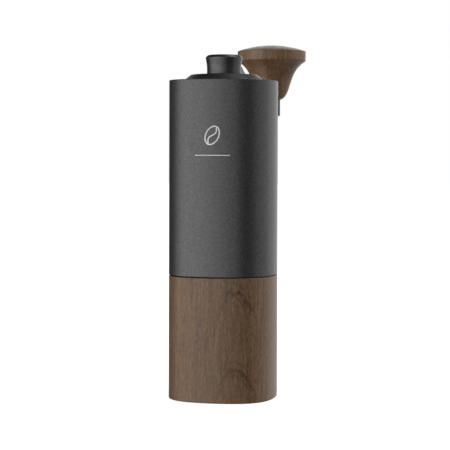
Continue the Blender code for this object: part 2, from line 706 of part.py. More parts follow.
def build_knob():
    bore = ((KNOB_BORE, KNOB_BOTTOM), (KNOB_BORE, KNOB_BORE_TOP), (0.0, KNOB_BORE_TOP))
    knob = turned("knob", (*KNOB_PROFILE, *bore), closed=False)
    finish(knob, "walnut", "knob", at=(0.0, KNOB_Y))
    for name, bottom in (("knob_bush_lower", KNOB_BOTTOM), ("knob_bush_upper", UPPER_BUSH)):
        bush = ring(name, AXLE_RADIUS + GAP, KNOB_BORE - GAP, bottom, bottom + BUSH_HEIGHT, SMALL_SEGMENTS)
        finish(bush, "brass", "knob", at=(0.0, KNOB_Y))


def make_frames():
    """One empty for each moving body, on its joint's axis, each hanging on the one that it rides."""
    knob_axis = Vector((0.0, KNOB_Y, BOSS_TOP))
    places = (
        ("cup", None, Vector()), ("seal", "cup", Vector()), ("grinder", "seal", Vector()),
        ("lid", "grinder", Vector()), ("crank", "lid", Vector()), ("arm", "crank", PIVOT),
        ("knob", "arm", knob_axis), ("shaft", "grinder", Vector()), ("burr", "shaft", Vector()),
        ("dial", "burr", Vector()),
    )
    for name, parent, place in places:
        frame = link_object(f"{name}_frame", None)
        frame.empty_display_size = 0.01
        frame.location = place * MM
        if parent:
            frame.parent = frames[parent]
            frame.location -= frame_places[parent]
        frames[name] = frame
        frame_places[name] = place * MM


def main():
    make_frames()
    build_cup()
    build_seal()
    build_body()
    build_burr_carrier()
    build_burrs()
    lower_bearing = build_spider("lower_bracket", LOWER_SPIDER, pocket_at_top=False)
    upper_bearing = build_spider("upper_bracket", UPPER_SPIDER, pocket_at_top=True)
    build_bearing("lower_bearing", lower_bearing)
    upper_bearing_top = build_bearing("upper_bearing", upper_bearing)
    build_shaft(lower_bearing, upper_bearing_top)
    build_dial()
    build_lid()
    build_hub()
    build_link()
    build_arm()
    build_knob()


clear_scene()
parts = make_collection(COLLECTION)
cutters = make_collection(CUTTERS)
materials = {name: make_material(name) for name in MATERIALS}
frames = {}
frame_places = {}
main()
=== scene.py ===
"""Looks of the hand crank coffee grinder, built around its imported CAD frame.

Shapes are worked out in millimetres from the CAD nodes' own boxes, and go to metres when a mesh
is made.  Visible CAD nodes are replaced by finely divided meshes with rounded edges; inner nodes
keep their CAD mesh and get a bevel and a better material.
"""

import math

import bmesh
import bpy
from mathutils import Matrix, Vector


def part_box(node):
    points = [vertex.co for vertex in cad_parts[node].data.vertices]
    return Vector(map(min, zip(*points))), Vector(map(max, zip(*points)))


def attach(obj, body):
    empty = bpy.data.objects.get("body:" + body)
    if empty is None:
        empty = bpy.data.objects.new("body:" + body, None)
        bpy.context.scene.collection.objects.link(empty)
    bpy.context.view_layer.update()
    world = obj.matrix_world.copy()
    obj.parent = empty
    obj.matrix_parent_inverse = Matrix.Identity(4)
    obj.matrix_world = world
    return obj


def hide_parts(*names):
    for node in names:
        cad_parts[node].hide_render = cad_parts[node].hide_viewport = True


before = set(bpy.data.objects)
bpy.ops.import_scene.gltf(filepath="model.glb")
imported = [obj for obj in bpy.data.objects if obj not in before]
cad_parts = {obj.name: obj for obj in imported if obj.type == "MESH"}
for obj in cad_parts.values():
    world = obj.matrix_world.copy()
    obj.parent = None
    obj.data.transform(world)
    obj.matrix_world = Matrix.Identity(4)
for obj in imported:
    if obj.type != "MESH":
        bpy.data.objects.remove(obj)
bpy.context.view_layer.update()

MM = 0.001                # metres in a millimetre
RING_STEPS = 192          # points round the large pieces
SMALL_STEPS = 96          # points round the small turned pieces
ROD_STEPS = 64
FILLET_STEPS = 4
BEVEL_SEGMENTS = 3
FIT_GAP = 0.25            # between a piece and the wall beside it


def node_box(name):
    """Lowest and highest corner of a CAD node, in millimetres."""
    low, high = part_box(name)
    return low / MM, high / MM


def node_centre(name):
    low, high = node_box(name)
    return (low + high) / 2


# ---------------------------------------------------------------- sizes, read from the frame

BODY_LOW, BODY_HIGH = node_box("body_shell")
HALF_WIDTH = BODY_HIGH.x

# The outline of the body and the cup, seen from above: four shallow arcs for the faces, each
# turning by FACE_SWEEP either side of its middle, and four tighter arcs that join them.
CORNER_RADIUS = HALF_WIDTH * 18 / 26
FACE_SWEEP = math.radians(13.1)
SLANT = math.cos(FACE_SWEEP) - math.sin(FACE_SWEEP)
FACE_RADIUS = (HALF_WIDTH - CORNER_RADIUS * SLANT) / (1 - SLANT)
FACE_CENTRE = HALF_WIDTH - FACE_RADIUS
CORNER_CENTRE = (FACE_RADIUS - CORNER_RADIUS) * math.sin(FACE_SWEEP)

BORE = node_box("burr_carrier")[1].x + FIT_GAP
PIVOT = node_centre("hinge_pin")
PIN_RADIUS = node_box("hinge_pin")[1].z - PIVOT.z
LINK_WIDTH = node_box("crank_link")[1].x * 2
KNUCKLE_RADIUS = PIVOT.z - node_box("crank_link")[0].z
TONGUE_WIDTH = LINK_WIDTH * 2.6 / 7


# ---------------------------------------------------------------- mesh building

def new_piece(name, bm):
    """Put a finished bmesh in the scene as an object."""
    mesh = bpy.data.meshes.new(name)
    bm.to_mesh(mesh)
    bm.free()
    obj = bpy.data.objects.new(name, mesh)
    bpy.context.scene.collection.objects.link(obj)
    return obj


def shade(obj, angle=40):
    """Smooth shading, but for edges that turn by more than `angle` degrees."""
    obj.data.shade_smooth()
    obj.data.set_sharp_from_angle(angle=math.radians(angle))
    weighted = obj.modifiers.new("weighted normals", "WEIGHTED_NORMAL")
    weighted.keep_sharp = True


def square_radius(angle, inset):
    """How far the rounded-square outline is from its centre in a direction."""
    quarter = math.pi / 2
    turn = (angle + quarter / 2) % quarter - quarter / 2
    direction = Vector((math.cos(turn), abs(math.sin(turn))))
    joint_x = CORNER_CENTRE + CORNER_RADIUS * math.cos(FACE_SWEEP)
    joint_y = CORNER_CENTRE + CORNER_RADIUS * math.sin(FACE_SWEEP)
    if direction.y * joint_x <= direction.x * joint_y:
        centre = Vector((FACE_CENTRE, 0.0))
        radius = FACE_RADIUS - inset
    else:
        centre = Vector((CORNER_CENTRE, CORNER_CENTRE))
        radius = CORNER_RADIUS - inset
    along = direction.dot(centre)
    return along + math.sqrt(along * along - centre.length_squared + radius * radius)


def rounded(profile):
    """Turn (shape, radius, height, fillet) corners into points, with an arc at each fillet."""
    points = []
    count = len(profile)
    for i, (shape, radius, height, fillet) in enumerate(profile):
        here = Vector((radius, height))
        before = Vector(profile[i - 1][1:3]) - here
        after = Vector(profile[(i + 1) % count][1:3]) - here
        if fillet <= 0:
            points.append((shape, radius, height))
            continue
        before.normalize()
        after.normalize()
        half = before.angle(after) / 2
        centre = here + (before + after).normalized() * fillet / math.sin(half)
        reach = fillet / math.tan(half)
        start = here + before * reach - centre
        sweep = start.angle_signed(here + after * reach - centre)
        for step in range(FILLET_STEPS + 1):
            on_arc = centre + Matrix.Rotation(-sweep * step / FILLET_STEPS, 2) @ start
            points.append((shape, *on_arc))
    return points


def swept(name, profile, centre=(0.0, 0.0), steps=RING_STEPS):
    """A solid made of one ring of points for each profile point, closed at the axis or on itself."""
    bm = bmesh.new()
    rings = []
    for shape, radius, height in rounded(profile):
        if radius == 0:
            rings.append([bm.verts.new(Vector((*centre, height)) * MM)])
            continue
        ring = []
        for i in range(steps):
            angle = math.tau * i / steps
            reach = square_radius(angle, HALF_WIDTH - radius) if shape == "square" else radius
            x = centre[0] + reach * math.cos(angle)
            y = centre[1] + reach * math.sin(angle)
            ring.append(bm.verts.new(Vector((x, y, height)) * MM))
        rings.append(ring)
    pairs = list(zip(rings, rings[1:]))
    if len(rings[0]) > 1:
        pairs.append((rings[-1], rings[0]))
    for upper, lower in pairs:
        for i in range(steps):
            j = (i + 1) % steps
            if len(upper) == 1:
                bm.faces.new((upper[0], lower[i], lower[j]))
            elif len(lower) == 1:
                bm.faces.new((upper[i], lower[0], upper[j]))
            else:
                bm.faces.new((upper[i], lower[i], lower[j], upper[j]))
    bmesh.ops.recalc_face_normals(bm, faces=bm.faces)
    obj = new_piece(name, bm)
    shade(obj)
    return obj


def turned(name, profile, centre=(0.0, 0.0), steps=SMALL_STEPS):
    """A solid of revolution about an upright axis, from (radius, height, fillet) corners."""
    return swept(name, [("round", *corner) for corner in profile], centre, steps)


def bevel_edges(bm, edges, width):
    bmesh.ops.bevel(bm, geom=edges, offset=width * MM, segments=BEVEL_SEGMENTS, affect="EDGES",
                    profile=0.5)


def block(name, size, centre, tilt=0.0, bevel=0.0):
    """A box, tilted about X through its centre, to cut with, join on or bend to shape."""
    bm = bmesh.new()
    bmesh.ops.create_cube(bm, size=1.0, matrix=Matrix.Diagonal((*(Vector(size) * MM), 1.0)))
    if bevel:
        bevel_edges(bm, bm.edges, bevel)
    bm.transform(Matrix.Translation(Vector(centre) * MM) @ Matrix.Rotation(tilt, 4, "X"))
    return new_piece(name, bm)


def rod(name, radius, length, centre, bevel=0.0):
    """A cylinder along X."""
    bm = bmesh.new()
    bmesh.ops.create_cone(bm, cap_ends=True, segments=ROD_STEPS, radius1=radius * MM,
                          radius2=radius * MM, depth=length * MM)
    if bevel:
        rims = [e for e in bm.edges if abs(e.verts[0].co.z - e.verts[1].co.z) < MM * 0.01]
        bevel_edges(bm, rims, bevel)
    bm.transform(Matrix.Translation(Vector(centre) * MM) @ Matrix.Rotation(math.pi / 2, 4, "Y"))
    return new_piece(name, bm)


def apply_boolean(obj, other, operation):
    """Join or cut now, and take the other piece out of the scene."""
    modifier = obj.modifiers.new("boolean", "BOOLEAN")
    modifier.operation = operation
    modifier.solver = "EXACT"
    modifier.object = other
    depsgraph = bpy.context.evaluated_depsgraph_get()
    mesh = bpy.data.meshes.new_from_object(obj.evaluated_get(depsgraph))
    obj.modifiers.clear()
    obj.data = mesh
    bpy.data.objects.remove(other, do_unlink=True)


def smooth_curve(points, steps):
    """Points on a Catmull-Rom curve through the given ones."""
    through = [Vector(p) for p in points]
    padded = [2 * through[0] - through[1], *through, 2 * through[-1] - through[-2]]
    curve = []
    for a, b, c, d in zip(padded, padded[1:], padded[2:], padded[3:]):
        for step in range(steps):
            t = step / steps
            curve.append(0.5 * (2 * b + (c - a) * t + (2 * a - 5 * b + 4 * c - d) * t ** 2
                                + (3 * b - a - 3 * c + d) * t ** 3))
    curve.append(through[-1])
    return curve


def side_plate(name, outline, width, bevel):
    """A plate from a side outline of (y, z) points, as wide as `width` along X."""
    bm = bmesh.new()
    left = [bm.verts.new(Vector((-width / 2, y, z)) * MM) for y, z in outline]
    right = [bm.verts.new(Vector((width / 2, y, z)) * MM) for y, z in outline]
    bm.faces.new(left)
    bm.faces.new(reversed(right))
    count = len(outline)
    for i in range(count):
        j = (i + 1) % count
        bm.faces.new((left[j], left[i], right[i], right[j]))
    bmesh.ops.recalc_face_normals(bm, faces=bm.faces)
    rims = [e for e in bm.edges if e.verts[0].co.x == e.verts[1].co.x]
    bevel_edges(bm, rims, bevel)
    return new_piece(name, bm)


def helix_ridge(name, radius, height, pitch, bottom, turns):
    """A thread's ridge: a small triangle swept along a helix, fading out at both ends."""
    steps = 72
    fade_steps = 12
    sink = 0.1
    half_width = 0.28         # of the pitch
    bm = bmesh.new()
    count = int(turns * steps)
    sections = []
    for i in range(count + 1):
        angle = math.tau * i / steps
        level = bottom + pitch * i / steps
        fade = min(1.0, i / fade_steps, (count - i) / fade_steps)
        section = []
        for out, up in ((-sink, -half_width), (height * fade, 0.0), (-sink, half_width)):
            reach = radius + out
            spot = Vector((reach * math.cos(angle), reach * math.sin(angle), level + up * pitch))
            section.append(bm.verts.new(spot * MM))
        sections.append(section)
    for first, second in zip(sections, sections[1:]):
        for a, b in ((0, 1), (1, 2), (2, 0)):
            bm.faces.new((first[a], second[a], second[b], first[b]))
    bm.faces.new(sections[0])
    bm.faces.new(reversed(sections[-1]))
    bmesh.ops.recalc_face_normals(bm, faces=bm.faces)
    return new_piece(name, bm)


# ---------------------------------------------------------------- materials

class Tree:
    """Short calls for building one node tree."""

    def __init__(self, node_tree):
        self.nodes = node_tree.nodes
        self.links = node_tree.links

    def feed(self, socket, value):
        """Link a socket to another, or give it a plain value."""
        if isinstance(value, bpy.types.NodeSocket):
            self.links.new(value, socket)
        else:
            socket.default_value = value

    def axes(self, vector):
        split = self.nodes.new("ShaderNodeSeparateXYZ")
        self.links.new(vector, split.inputs["Vector"])
        return split.outputs

    def vector(self, operation, first, second=None):
        node = self.nodes.new("ShaderNodeVectorMath")
        node.operation = operation
        self.feed(node.inputs[0], first)
        if second is not None:
            self.feed(node.inputs[1], second)
        return node.outputs["Value" if operation in ("LENGTH", "DOT_PRODUCT") else "Vector"]

    def maths(self, operation, first, second=0.0, clamp=False):
        node = self.nodes.new("ShaderNodeMath")
        node.operation = operation
        node.use_clamp = clamp
        self.feed(node.inputs[0], first)
        self.feed(node.inputs[1], second)
        return node.outputs["Value"]

    def noise(self, vector, detail=2.0, roughness=0.5, dimensions="3D"):
        node = self.nodes.new("ShaderNodeTexNoise")
        node.noise_dimensions = dimensions
        node.inputs["Scale"].default_value = 1.0
        node.inputs["Detail"].default_value = detail
        node.inputs["Roughness"].default_value = roughness
        self.links.new(vector, node.inputs["W" if dimensions == "1D" else "Vector"])
        return node.outputs["Fac"]

    def ramp(self, value, stops):
        node = self.nodes.new("ShaderNodeValToRGB")
        elements = node.color_ramp.elements
        while len(elements) < len(stops):
            elements.new(0.5)
        for element, (position, colour) in zip(elements, stops):
            red, green, blue = colour if isinstance(colour, tuple) else (colour, colour, colour)
            element.position = position
            element.color = (red, green, blue, 1.0)
        self.links.new(value, node.inputs["Fac"])
        return node.outputs["Color"]

    def mix(self, factor, first, second, blend="MIX"):
        node = self.nodes.new("ShaderNodeMix")
        node.data_type = "RGBA"
        node.blend_type = blend
        self.feed(node.inputs["Factor"], factor)
        self.feed(node.inputs["A"], first)
        self.feed(node.inputs["B"], second)
        return node.outputs["Result"]

    def tinted(self, colour, tint):
        return self.mix(1.0, colour, tint, "MULTIPLY")

    def range(self, value, low, high, start=0.0, end=1.0, interpolation="LINEAR"):
        """`low` where the value is `start`, `high` where it is `end`."""
        node = self.nodes.new("ShaderNodeMapRange")
        node.interpolation_type = interpolation
        for socket, level in (("From Min", start), ("From Max", end), ("To Min", low), ("To Max", high)):
            node.inputs[socket].default_value = level
        self.links.new(value, node.inputs["Value"])
        return node.outputs["Result"]


class Surface(Tree):
    """The node tree of a Principled material."""

    def __init__(self, name, colour=(0.8, 0.8, 0.8), roughness=0.5, metallic=0.0):
        self.material = bpy.data.materials.new(name)
        self.material.use_nodes = True
        super().__init__(self.material.node_tree)
        self.shader = self.nodes["Principled BSDF"]
        self.shader.inputs["Base Color"].default_value = (*colour, 1.0)
        self.shader.inputs["Roughness"].default_value = roughness
        self.shader.inputs["Metallic"].default_value = metallic

    def position(self, scale=(1.0, 1.0, 1.0), origin=(0.0, 0.0, 0.0)):
        """The point on the resting object in millimetres from `origin`, then scaled."""
        coordinates = self.nodes.new("ShaderNodeTexCoord").outputs["Object"]
        mapping = self.nodes.new("ShaderNodeMapping")
        mapping.vector_type = "POINT"
        self.links.new(coordinates, mapping.inputs["Vector"])
        mapping.inputs["Scale"].default_value = [s / MM for s in scale]
        mapping.inputs["Location"].default_value = [-s * o for s, o in zip(scale, origin)]
        return mapping.outputs["Vector"]

    def bump(self, height, strength, depth):
        node = self.nodes.new("ShaderNodeBump")
        node.inputs["Strength"].default_value = strength
        node.inputs["Distance"].default_value = depth * MM
        self.links.new(height, node.inputs["Height"])
        self.links.new(node.outputs["Normal"], self.shader.inputs["Normal"])


# Arches of late wood on the walnut, in millimetres.  Each is a parabola on either side of its
# crown, steeper on the left, and falls by FALL times the square of the distance from the crown.
ARCH_SPACING = 37.0
ARCH_CROWN = 9.3
ARCH_STEEP_FALL = 0.30
ARCH_WIDE_FALL = 0.09
ARCH_WANDER = 9.0         # how much the noise moves a line up or down

EARLY_WOOD = ((0.182, 0.096, 0.042), (0.214, 0.118, 0.055), (0.250, 0.145, 0.072))
LATE_WOOD = (0.080, 0.037, 0.011, 1.0)
OPEN_PORE = (0.035, 0.018, 0.009, 1.0)
# Painted shade along the wood's bottom edge: how far up it reaches, in millimetres.
FOOT_SHADE_HEIGHT = 0.9


def arch_line(tree, offset, axes, across, phase):
    """How much late wood shows: ragged strands along arches, strongest right of the crown.

    `axes` is the point in millimetres, and `across` runs from 0 to 1 over the board's width.
    """
    aside = tree.maths("SUBTRACT", axes["X"], ARCH_CROWN)
    steep = tree.maths("MINIMUM", aside, 0.0)
    steep = tree.maths("MULTIPLY", tree.maths("MULTIPLY", steep, steep), ARCH_STEEP_FALL)
    wide = tree.maths("MAXIMUM", aside, 0.0)
    wide = tree.maths("MULTIPLY", tree.maths("MULTIPLY", wide, wide), ARCH_WIDE_FALL)
    ragged = tree.noise(tree.position((0.45, 0.45, 0.16), offset), detail=4.0, roughness=0.6)
    wandering = tree.maths("ADD", axes["Z"], tree.maths("MULTIPLY", ragged, ARCH_WANDER))
    rise = tree.maths("ADD", wandering, tree.maths("ADD", steep, wide))
    turn = tree.maths("FRACT", tree.maths("ADD", tree.maths("DIVIDE", rise, ARCH_SPACING), phase))
    strands = tree.ramp(turn, [(0.41, 0.0), (0.43, 0.9), (0.455, 0.0), (0.48, 1.0), (0.52, 1.0),
                               (0.545, 0.0), (0.60, 0.0), (0.62, 0.9), (0.64, 0.0)])
    strength = tree.ramp(across, [(0.48, 0.0), (0.54, 0.5), (0.66, 0.7), (0.72, 0.95), (0.84, 0.95),
                                  (0.90, 0.0)])
    return tree.maths("MULTIPLY", strands, strength)


def walnut(name, reach, painted_side_light, phase=0.0, figure=1.0, offset=(0.0, 0.0, 0.0), foot=-100.0):
    """Oiled walnut with upright fibres and open pores.

    `painted_side_light` is painted light and shade across the board, from X = -reach to X = reach:
    lighter on the side where the light falls.  `phase` moves the arches down, as a share of their
    spacing,
    `figure` is their strength, and `offset` is where this board's pattern starts.  The bottom edge,
    at the height `foot`, is darkened: painted shade along the foot.
    """
    tree = Surface(name)
    axes = tree.axes(tree.position(origin=offset))
    across = tree.range(axes["X"], 0.0, 1.0, -reach, reach)
    clump = tree.ramp(tree.noise(tree.position((1.3, 1.3, 0.45), offset), detail=3.0, roughness=0.7),
                      [(0.40, 0.4), (0.55, 1.0)])
    line = tree.maths("MULTIPLY", arch_line(tree, offset, axes, across, phase),
                      tree.maths("MULTIPLY", clump, figure), clamp=True)
    fibre = tree.noise(tree.position((1.8, 1.8, 0.05), offset), detail=4.0, roughness=0.7)
    fleck = tree.noise(tree.position((1.5, 1.5, 0.5), offset), detail=2.0, roughness=0.65)
    band = tree.noise(tree.position((0.16, 0.16, 0.008), offset), detail=2.0)
    pores = tree.ramp(tree.noise(tree.position((4.5, 4.5, 0.35), offset), detail=1.0),
                      [(0.0, 0.0), (0.60, 0.0), (0.70, 1.0), (1.0, 1.0)])
    colour = tree.ramp(band, list(zip((0.3, 0.5, 0.7), EARLY_WOOD)))
    colour = tree.mix(line, colour, LATE_WOOD)
    # Painted light and shade: lighter or darker across the board's width, for how the light falls on its
    # sides.
    colour = tree.tinted(colour, tree.ramp(across, painted_side_light))
    colour = tree.tinted(colour, tree.ramp(fibre, [(0.25, 0.48), (0.75, 1.48)]))
    colour = tree.tinted(colour, tree.ramp(fleck, [(0.25, 0.62), (0.75, 1.36)]))
    # Painted shade: the wood darkens towards its bottom edge, standing in for the shadow under it.
    colour = tree.tinted(colour, tree.range(axes["Z"], 0.1, 1.0, foot, foot + FOOT_SHADE_HEIGHT))
    colour = tree.mix(tree.maths("MULTIPLY", pores, 0.5), colour, OPEN_PORE)
    tree.links.new(colour, tree.shader.inputs["Base Color"])
    tree.links.new(tree.range(fibre, 0.36, 0.54), tree.shader.inputs["Roughness"])
    tree.bump(tree.maths("SUBTRACT", tree.maths("MULTIPLY", fibre, 0.5), pores), 0.35, 0.12)
    tree.shader.inputs["Specular IOR Level"].default_value = 0.6
    return tree.material


def scaled(colour, factor, lift=0.0):
    return tuple(channel * factor + lift for channel in colour)


def coated_metal(name, colour, roughness, grain=0.3):
    """Metal under a fine matt coating: a sparkle of small grains and a faint mottle."""
    tree = Surface(name, metallic=0.85)
    grains = tree.noise(tree.position((1.7, 1.7, 1.7)), detail=3.0, roughness=0.7)
    mottle = tree.noise(tree.position((0.5, 0.5, 0.5)), detail=2.0)
    tint = tree.ramp(grains, [(0.3, scaled(colour, 0.6)), (0.5, colour), (0.7, scaled(colour, 1.42))])
    tint = tree.tinted(tint, tree.ramp(mottle, [(0.3, 0.94), (0.7, 1.05)]))
    tree.links.new(tint, tree.shader.inputs["Base Color"])
    tree.links.new(tree.range(grains, roughness - 0.08, roughness + 0.08),
                   tree.shader.inputs["Roughness"])
    tree.bump(grains, grain, 0.06)
    return tree.material


def machined_metal(name, colour, roughness, axis=(0.0, 0.0), line=0.5):
    """Bare metal with the fine rings that a lathe leaves about its axis."""
    tree = Surface(name, metallic=1.0)
    across = tree.vector("MULTIPLY", tree.position(origin=(*axis, 0.0)), (1.0, 1.0, 0.0))
    travel = tree.maths("ADD", tree.vector("LENGTH", across), tree.axes(tree.position())["Z"])
    rings = tree.noise(tree.maths("MULTIPLY", travel, 6.0), detail=3.0, dimensions="1D")
    cloud = tree.noise(tree.position((0.3, 0.3, 0.3)), detail=2.0)
    tint = tree.ramp(cloud, [(0.3, scaled(colour, 0.88)), (0.7, colour)])
    tint = tree.tinted(tint, tree.ramp(rings, [(0.3, 0.9), (0.7, 1.05)]))
    tree.links.new(tint, tree.shader.inputs["Base Color"])
    tree.links.new(tree.range(rings, roughness - 0.07, roughness + 0.12),
                   tree.shader.inputs["Roughness"])
    tree.bump(rings, line * 0.4, 0.03)
    return tree.material


def moulded(name, colour, roughness, grain):
    """Plastic or rubber with a fine moulded texture and a little dust in it."""
    tree = Surface(name)
    texture = tree.noise(tree.position((3.0, 3.0, 3.0)), detail=2.0)
    dust = tree.noise(tree.position((0.2, 0.2, 0.2)), detail=4.0)
    tint = tree.ramp(dust, [(0.35, colour), (0.75, scaled(colour, 1.5, 0.004))])
    tree.links.new(tint, tree.shader.inputs["Base Color"])
    tree.links.new(tree.range(texture, roughness - 0.06, roughness + 0.06),
                   tree.shader.inputs["Roughness"])
    tree.bump(texture, grain, 0.08)
    return tree.material


def paint(obj, material):
    obj.data.materials.clear()
    obj.data.materials.append(material)


def place(obj, material, body, slot, *nodes):
    """Give a piece its material, hang it on its body and let it stand for its CAD nodes."""
    paint(obj, material)
    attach(obj, body)
    if nodes:
        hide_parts(*nodes)


CHARCOAL = coated_metal("charcoal_coating", (0.105, 0.105, 0.105), 0.42)
CHARCOAL_SMALL = coated_metal("charcoal_fittings", (0.096, 0.096, 0.096), 0.36, grain=0.2)
# A darker copy of the charcoal coating for the link and arm: painted shade, so they look shaded beside
# the body.
CHARCOAL_ARM_SHADED = coated_metal("charcoal_arm_shaded", (0.075, 0.075, 0.075), 0.42, grain=0.2)
STEEL = machined_metal("turned_steel", (0.62, 0.61, 0.6), 0.3)
BURR_STEEL = machined_metal("burr_steel", (0.42, 0.42, 0.43), 0.34, line=1.0)
ALUMINIUM = machined_metal("bare_aluminium", (0.66, 0.66, 0.67), 0.38)
PLASTIC = moulded("black_plastic", (0.028, 0.028, 0.03), 0.48, 0.3)
RUBBER = moulded("black_silicone", (0.02, 0.02, 0.02), 0.72, 0.5)


# ---------------------------------------------------------------- the cup

def build_cup():
    low, high = node_box("cup_sleeve")
    liner_low, liner_high = node_box("cup_liner")
    pad_low, pad_high = node_box("base_pad")
    bore = liner_high.x + FIT_GAP
    pocket = pad_high.x + FIT_GAP
    floor = liner_low.z - FIT_GAP
    ceiling = pad_high.z + FIT_GAP
    sleeve = swept("walnut_sleeve", [
        ("round", 0.0, floor, 0.0), ("round", bore, floor, 0.4), ("round", bore, high.z, 0.25),
        ("square", HALF_WIDTH, high.z, 0.45), ("square", HALF_WIDTH, low.z, 0.5),
        ("round", pocket, low.z, 0.3), ("round", pocket, ceiling, 0.0), ("round", 0.0, ceiling, 0.0),
    ])
    # Painted light and shade across the cup: lighter at the left edge and on the right side, darker
    # right of the middle.
    painted_side_light = [(0.0, 1.25), (0.08, 1.0), (0.56, 0.96), (0.67, 0.90), (0.84, 0.92), (0.93, 1.12)]
    wood = walnut("walnut_cup", HALF_WIDTH, painted_side_light, phase=0.935, figure=0.95, foot=0.15)
    place(sleeve, wood, "cup", "walnut", "cup_sleeve")
    wall = 1.0
    inner = liner_high.x - wall
    liner = turned("steel_liner", [
        (0.0, liner_low.z + wall, 0.0), (inner, liner_low.z + wall, 3.0), (inner, liner_high.z, 0.3),
        (liner_high.x, liner_high.z, 0.3), (liner_high.x, liner_low.z, 1.5), (0.0, liner_low.z, 0.0),
    ])
    place(liner, STEEL, "cup", "bright_steel", "cup_liner")
    groove_depth = 0.3
    groove_width = 0.8
    grooves = []
    for share in (0.9, 0.7, 0.5, 0.3):
        outside = pad_high.x * share
        inside = outside - groove_width
        grooves += [(outside, pad_low.z, 0.1), (outside, pad_low.z + groove_depth, 0.1),
                    (inside, pad_low.z + groove_depth, 0.1), (inside, pad_low.z, 0.1)]
    pad = turned("ribbed_pad", [
        (0.0, pad_high.z, 0.0), (pad_high.x, pad_high.z, 0.2), (pad_high.x, pad_low.z, 0.4), *grooves,
        (0.0, pad_low.z, 0.0),
    ])
    place(pad, RUBBER, "cup", "black_rubber", "base_pad")


# ---------------------------------------------------------------- the body and the lid

def build_body():
    shell = swept("metal_shell", [
        ("square", HALF_WIDTH, BODY_HIGH.z, 0.35), ("square", HALF_WIDTH, BODY_LOW.z, 0.35),
        ("round", BORE, BODY_LOW.z, 0.25), ("round", BORE, BODY_HIGH.z, 0.3),
    ])
    place(shell, CHARCOAL, "grinder", "charcoal_metal", "body_shell")
    thread_foot = node_box("neck_ring")[0].z + 1.6
    neck_radius = node_box("neck_seal")[1].x - 1.45
    ridge = helix_ridge("neck_thread", neck_radius, height=0.22, pitch=1.5, bottom=thread_foot,
                        turns=4)
    shade(ridge, 60)
    place(ridge, ALUMINIUM, "grinder", "bare_aluminium")


def build_lid():
    low, high = node_box("lid")
    gasket_low, gasket_high = node_box("lid_gasket")
    rim = BODY_HIGH.z
    plateau = high.x * 0.725
    foot = high.x * 0.9
    skirt = high.x - 1.75
    seat = gasket_high.z + FIT_GAP
    bore = 5.4
    underside = node_box("lid_bush")[0].z
    lid = turned("lid_disc", [
        (bore, high.z, 0.2), (plateau, high.z, 0.5), (foot, rim, 0.6), (high.x, rim, 0.3),
        (high.x, seat, 0.2), (skirt, seat, 0.2), (skirt, low.z, 0.3),
        (skirt - 1.8, low.z, 0.3), (skirt - 1.8, underside, 0.8), (bore, underside, 0.2),
    ], steps=RING_STEPS)
    place(lid, CHARCOAL, "lid", "charcoal_metal", "lid")
    inner = skirt + FIT_GAP
    height = gasket_high.z - gasket_low.z
    lips = []
    for top in (gasket_high.z, gasket_high.z - height / 2):
        lips += [(high.x, top - height * 0.12, 0.15), (high.x, top - height * 0.28, 0.15),
                 (high.x - 0.5, top - height * 0.42, 0.1)]
    seal = turned("lid_seal", [(inner, gasket_high.z, 0.15), *lips, (inner, gasket_low.z, 0.15)],
                  steps=RING_STEPS)
    place(seal, RUBBER, "lid", "black_rubber", "lid_gasket")


# ---------------------------------------------------------------- the mark on the front

BEAN_STROKE = 0.62
RULE_STROKE = 0.36
INK_LIFT = 0.02           # from the body's face to the middle of the ink
INK_THICKNESS = 0.03


def front_depth(x):
    """How far the body's front face is from the axis, at a place across it."""
    return FACE_CENTRE + math.sqrt(FACE_RADIUS ** 2 - x * x)


def stroke(bm, points, width, closed=False):
    """A flat ribbon of even width along (x, z) points, laid on the body's front face."""
    count = len(points)
    sides = []
    for i, point in enumerate(points):
        before = points[i - 1] if (i or closed) else points[0]
        after = points[(i + 1) % count] if (i < count - 1 or closed) else points[-1]
        across = (Vector(after) - Vector(before)).orthogonal().normalized() * width / 2
        pair = []
        for edge in (Vector(point) + across, Vector(point) - across):
            spot = Vector((edge.x, -front_depth(edge.x) - INK_LIFT, edge.y))
            pair.append(bm.verts.new(spot * MM))
        sides.append(pair)
    for i in range(count if closed else count - 1):
        first, second = sides[i], sides[(i + 1) % count]
        bm.faces.new((first[0], first[1], second[1], second[0]))


def build_mark():
    """A plain printed coffee bean over a short rule."""
    height = BODY_HIGH.z - BODY_LOW.z
    bean = Vector((0.0, BODY_HIGH.z - 0.285 * height))
    half_width = 3.1
    half_height = 4.6
    crease_sway = 0.95
    lean = Matrix.Rotation(math.radians(-28), 2)
    outline = []
    for i in range(64):
        angle = math.tau * i / 64
        outline.append(bean + lean @ Vector((half_width * math.cos(angle),
                                             half_height * math.sin(angle))))
    crease = []
    for i in range(-16, 17):
        share = i / 16
        crease.append(bean + lean @ Vector((crease_sway * math.sin(math.pi * share),
                                            0.9 * half_height * share)))
    rule_z = BODY_HIGH.z - 0.385 * height
    rule_half_width = 8.5
    rule = [Vector((rule_half_width * i / 12, rule_z)) for i in range(-12, 13)]
    bm = bmesh.new()
    stroke(bm, outline, BEAN_STROKE, closed=True)
    stroke(bm, crease, BEAN_STROKE)
    stroke(bm, rule, RULE_STROKE)
    mark = new_piece("printed_bean", bm)
    solid = mark.modifiers.new("thickness", "SOLIDIFY")
    solid.thickness = INK_THICKNESS * MM
    solid.offset = 0.0
    ink = moulded("pale_ink", (0.85, 0.85, 0.85), 0.6, 0.1)
    place(mark, ink, "grinder", "bare_aluminium")


# ---------------------------------------------------------------- the crank

